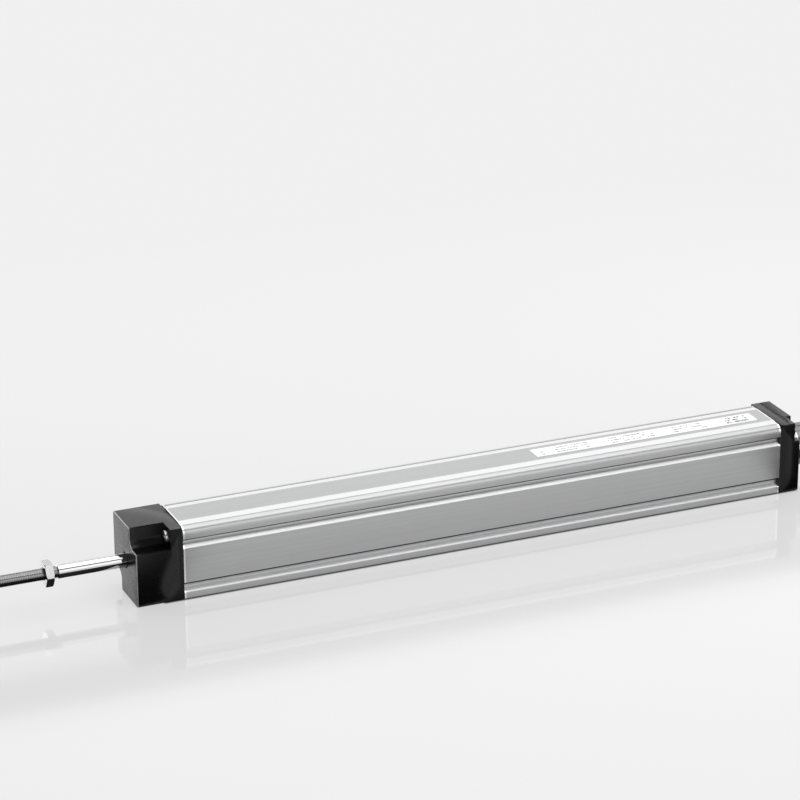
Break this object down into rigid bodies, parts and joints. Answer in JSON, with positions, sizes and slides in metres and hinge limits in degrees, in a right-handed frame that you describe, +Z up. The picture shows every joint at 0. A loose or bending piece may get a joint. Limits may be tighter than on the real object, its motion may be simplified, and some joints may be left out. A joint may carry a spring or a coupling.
{
  "type": "linear potentiometer",
  "caption": "Pull rod linear position sensor: grooved aluminium housing, black ends, threaded steel rod with lock nut at one end and a round plug socket at the other.",
  "frame": {"origin": "middle of the aluminium profile's underside, on the surface that the sensor lies on", "axes": "+X from the rod end to the connector end, +Y to the far side as pictured, +Z up"},
  "size_m": [0.388, 0.029, 0.033],
  "materials": {
    "profile_aluminium": "fine drawn lines, clear anodised",
    "black_plastic": "moulded, fine satin grain",
    "black_rubber": "smooth",
    "bearing_bronze": "turned, oiled",
    "rod_steel": "ground and polished",
    "nut_steel": "nickel plated",
    "screw_steel": "black zinc",
    "shell_metal": "nickel plated, turned",
    "insert_plastic": "moulded",
    "contact_gold": "gold flashed",
    "board_laminate": "glass cloth laminate",
    "resistive_film": "conductive plastic",
    "collector_film": "silver filled film",
    "terminal_metal": "tin plated",
    "wire_cover": "smooth",
    "carriage_plastic": "acetal",
    "runner_plastic": "low friction",
    "spring_bronze": "rolled strip",
    "label_film": "satin film"
  },
  "bodies": {
    "housing": {"housing_profile": "profile_aluminium", "front_head": "black_plastic", "front_gasket": "black_rubber", "rod_wiper_seal": "black_rubber", "rod_bushing": "bearing_bronze", "front_bumper": "black_rubber", "front_screws": "screw_steel", "rear_cap": "black_plastic", "rear_gasket": "black_rubber", "rear_bumper": "black_rubber", "rear_screws": "screw_steel", "connector_shell": "shell_metal", "connector_o_ring": "black_rubber", "connector_insert": "insert_plastic", "connector_retaining_ring": "shell_metal", "connector_pins": "contact_gold", "element_board": "board_laminate", "resistive_track": "resistive_film", "collector_track": "collector_film", "track_terminals": "terminal_metal", "lead_wires": "wire_cover", "data_label": "label_film"},
    "carriage": {"carriage_block": "carriage_plastic", "slide_runners": "runner_plastic", "coupling_plate": "carriage_plastic", "coupling_screws": "screw_steel", "carriage_spring": "spring_bronze", "wiper_holder": "carriage_plastic", "resistive_wiper": "spring_bronze", "collector_wiper": "spring_bronze"},
    "rod": {"pull_rod": "rod_steel", "rod_ball": "rod_steel", "lock_nut": "nut_steel"}
  },
  "joints": [
    {"name": "carriage_slide", "type": "slide", "parent": "housing", "child": "carriage", "axis": [-1, 0, 0], "range_m": [0, 0.255]},
    {"name": "rod_turn", "type": "hinge", "parent": "carriage", "child": "rod", "pos_m": [0.1255, 0, 0.01605], "axis": [-1, 0, 0], "continuous": true}
  ]
}
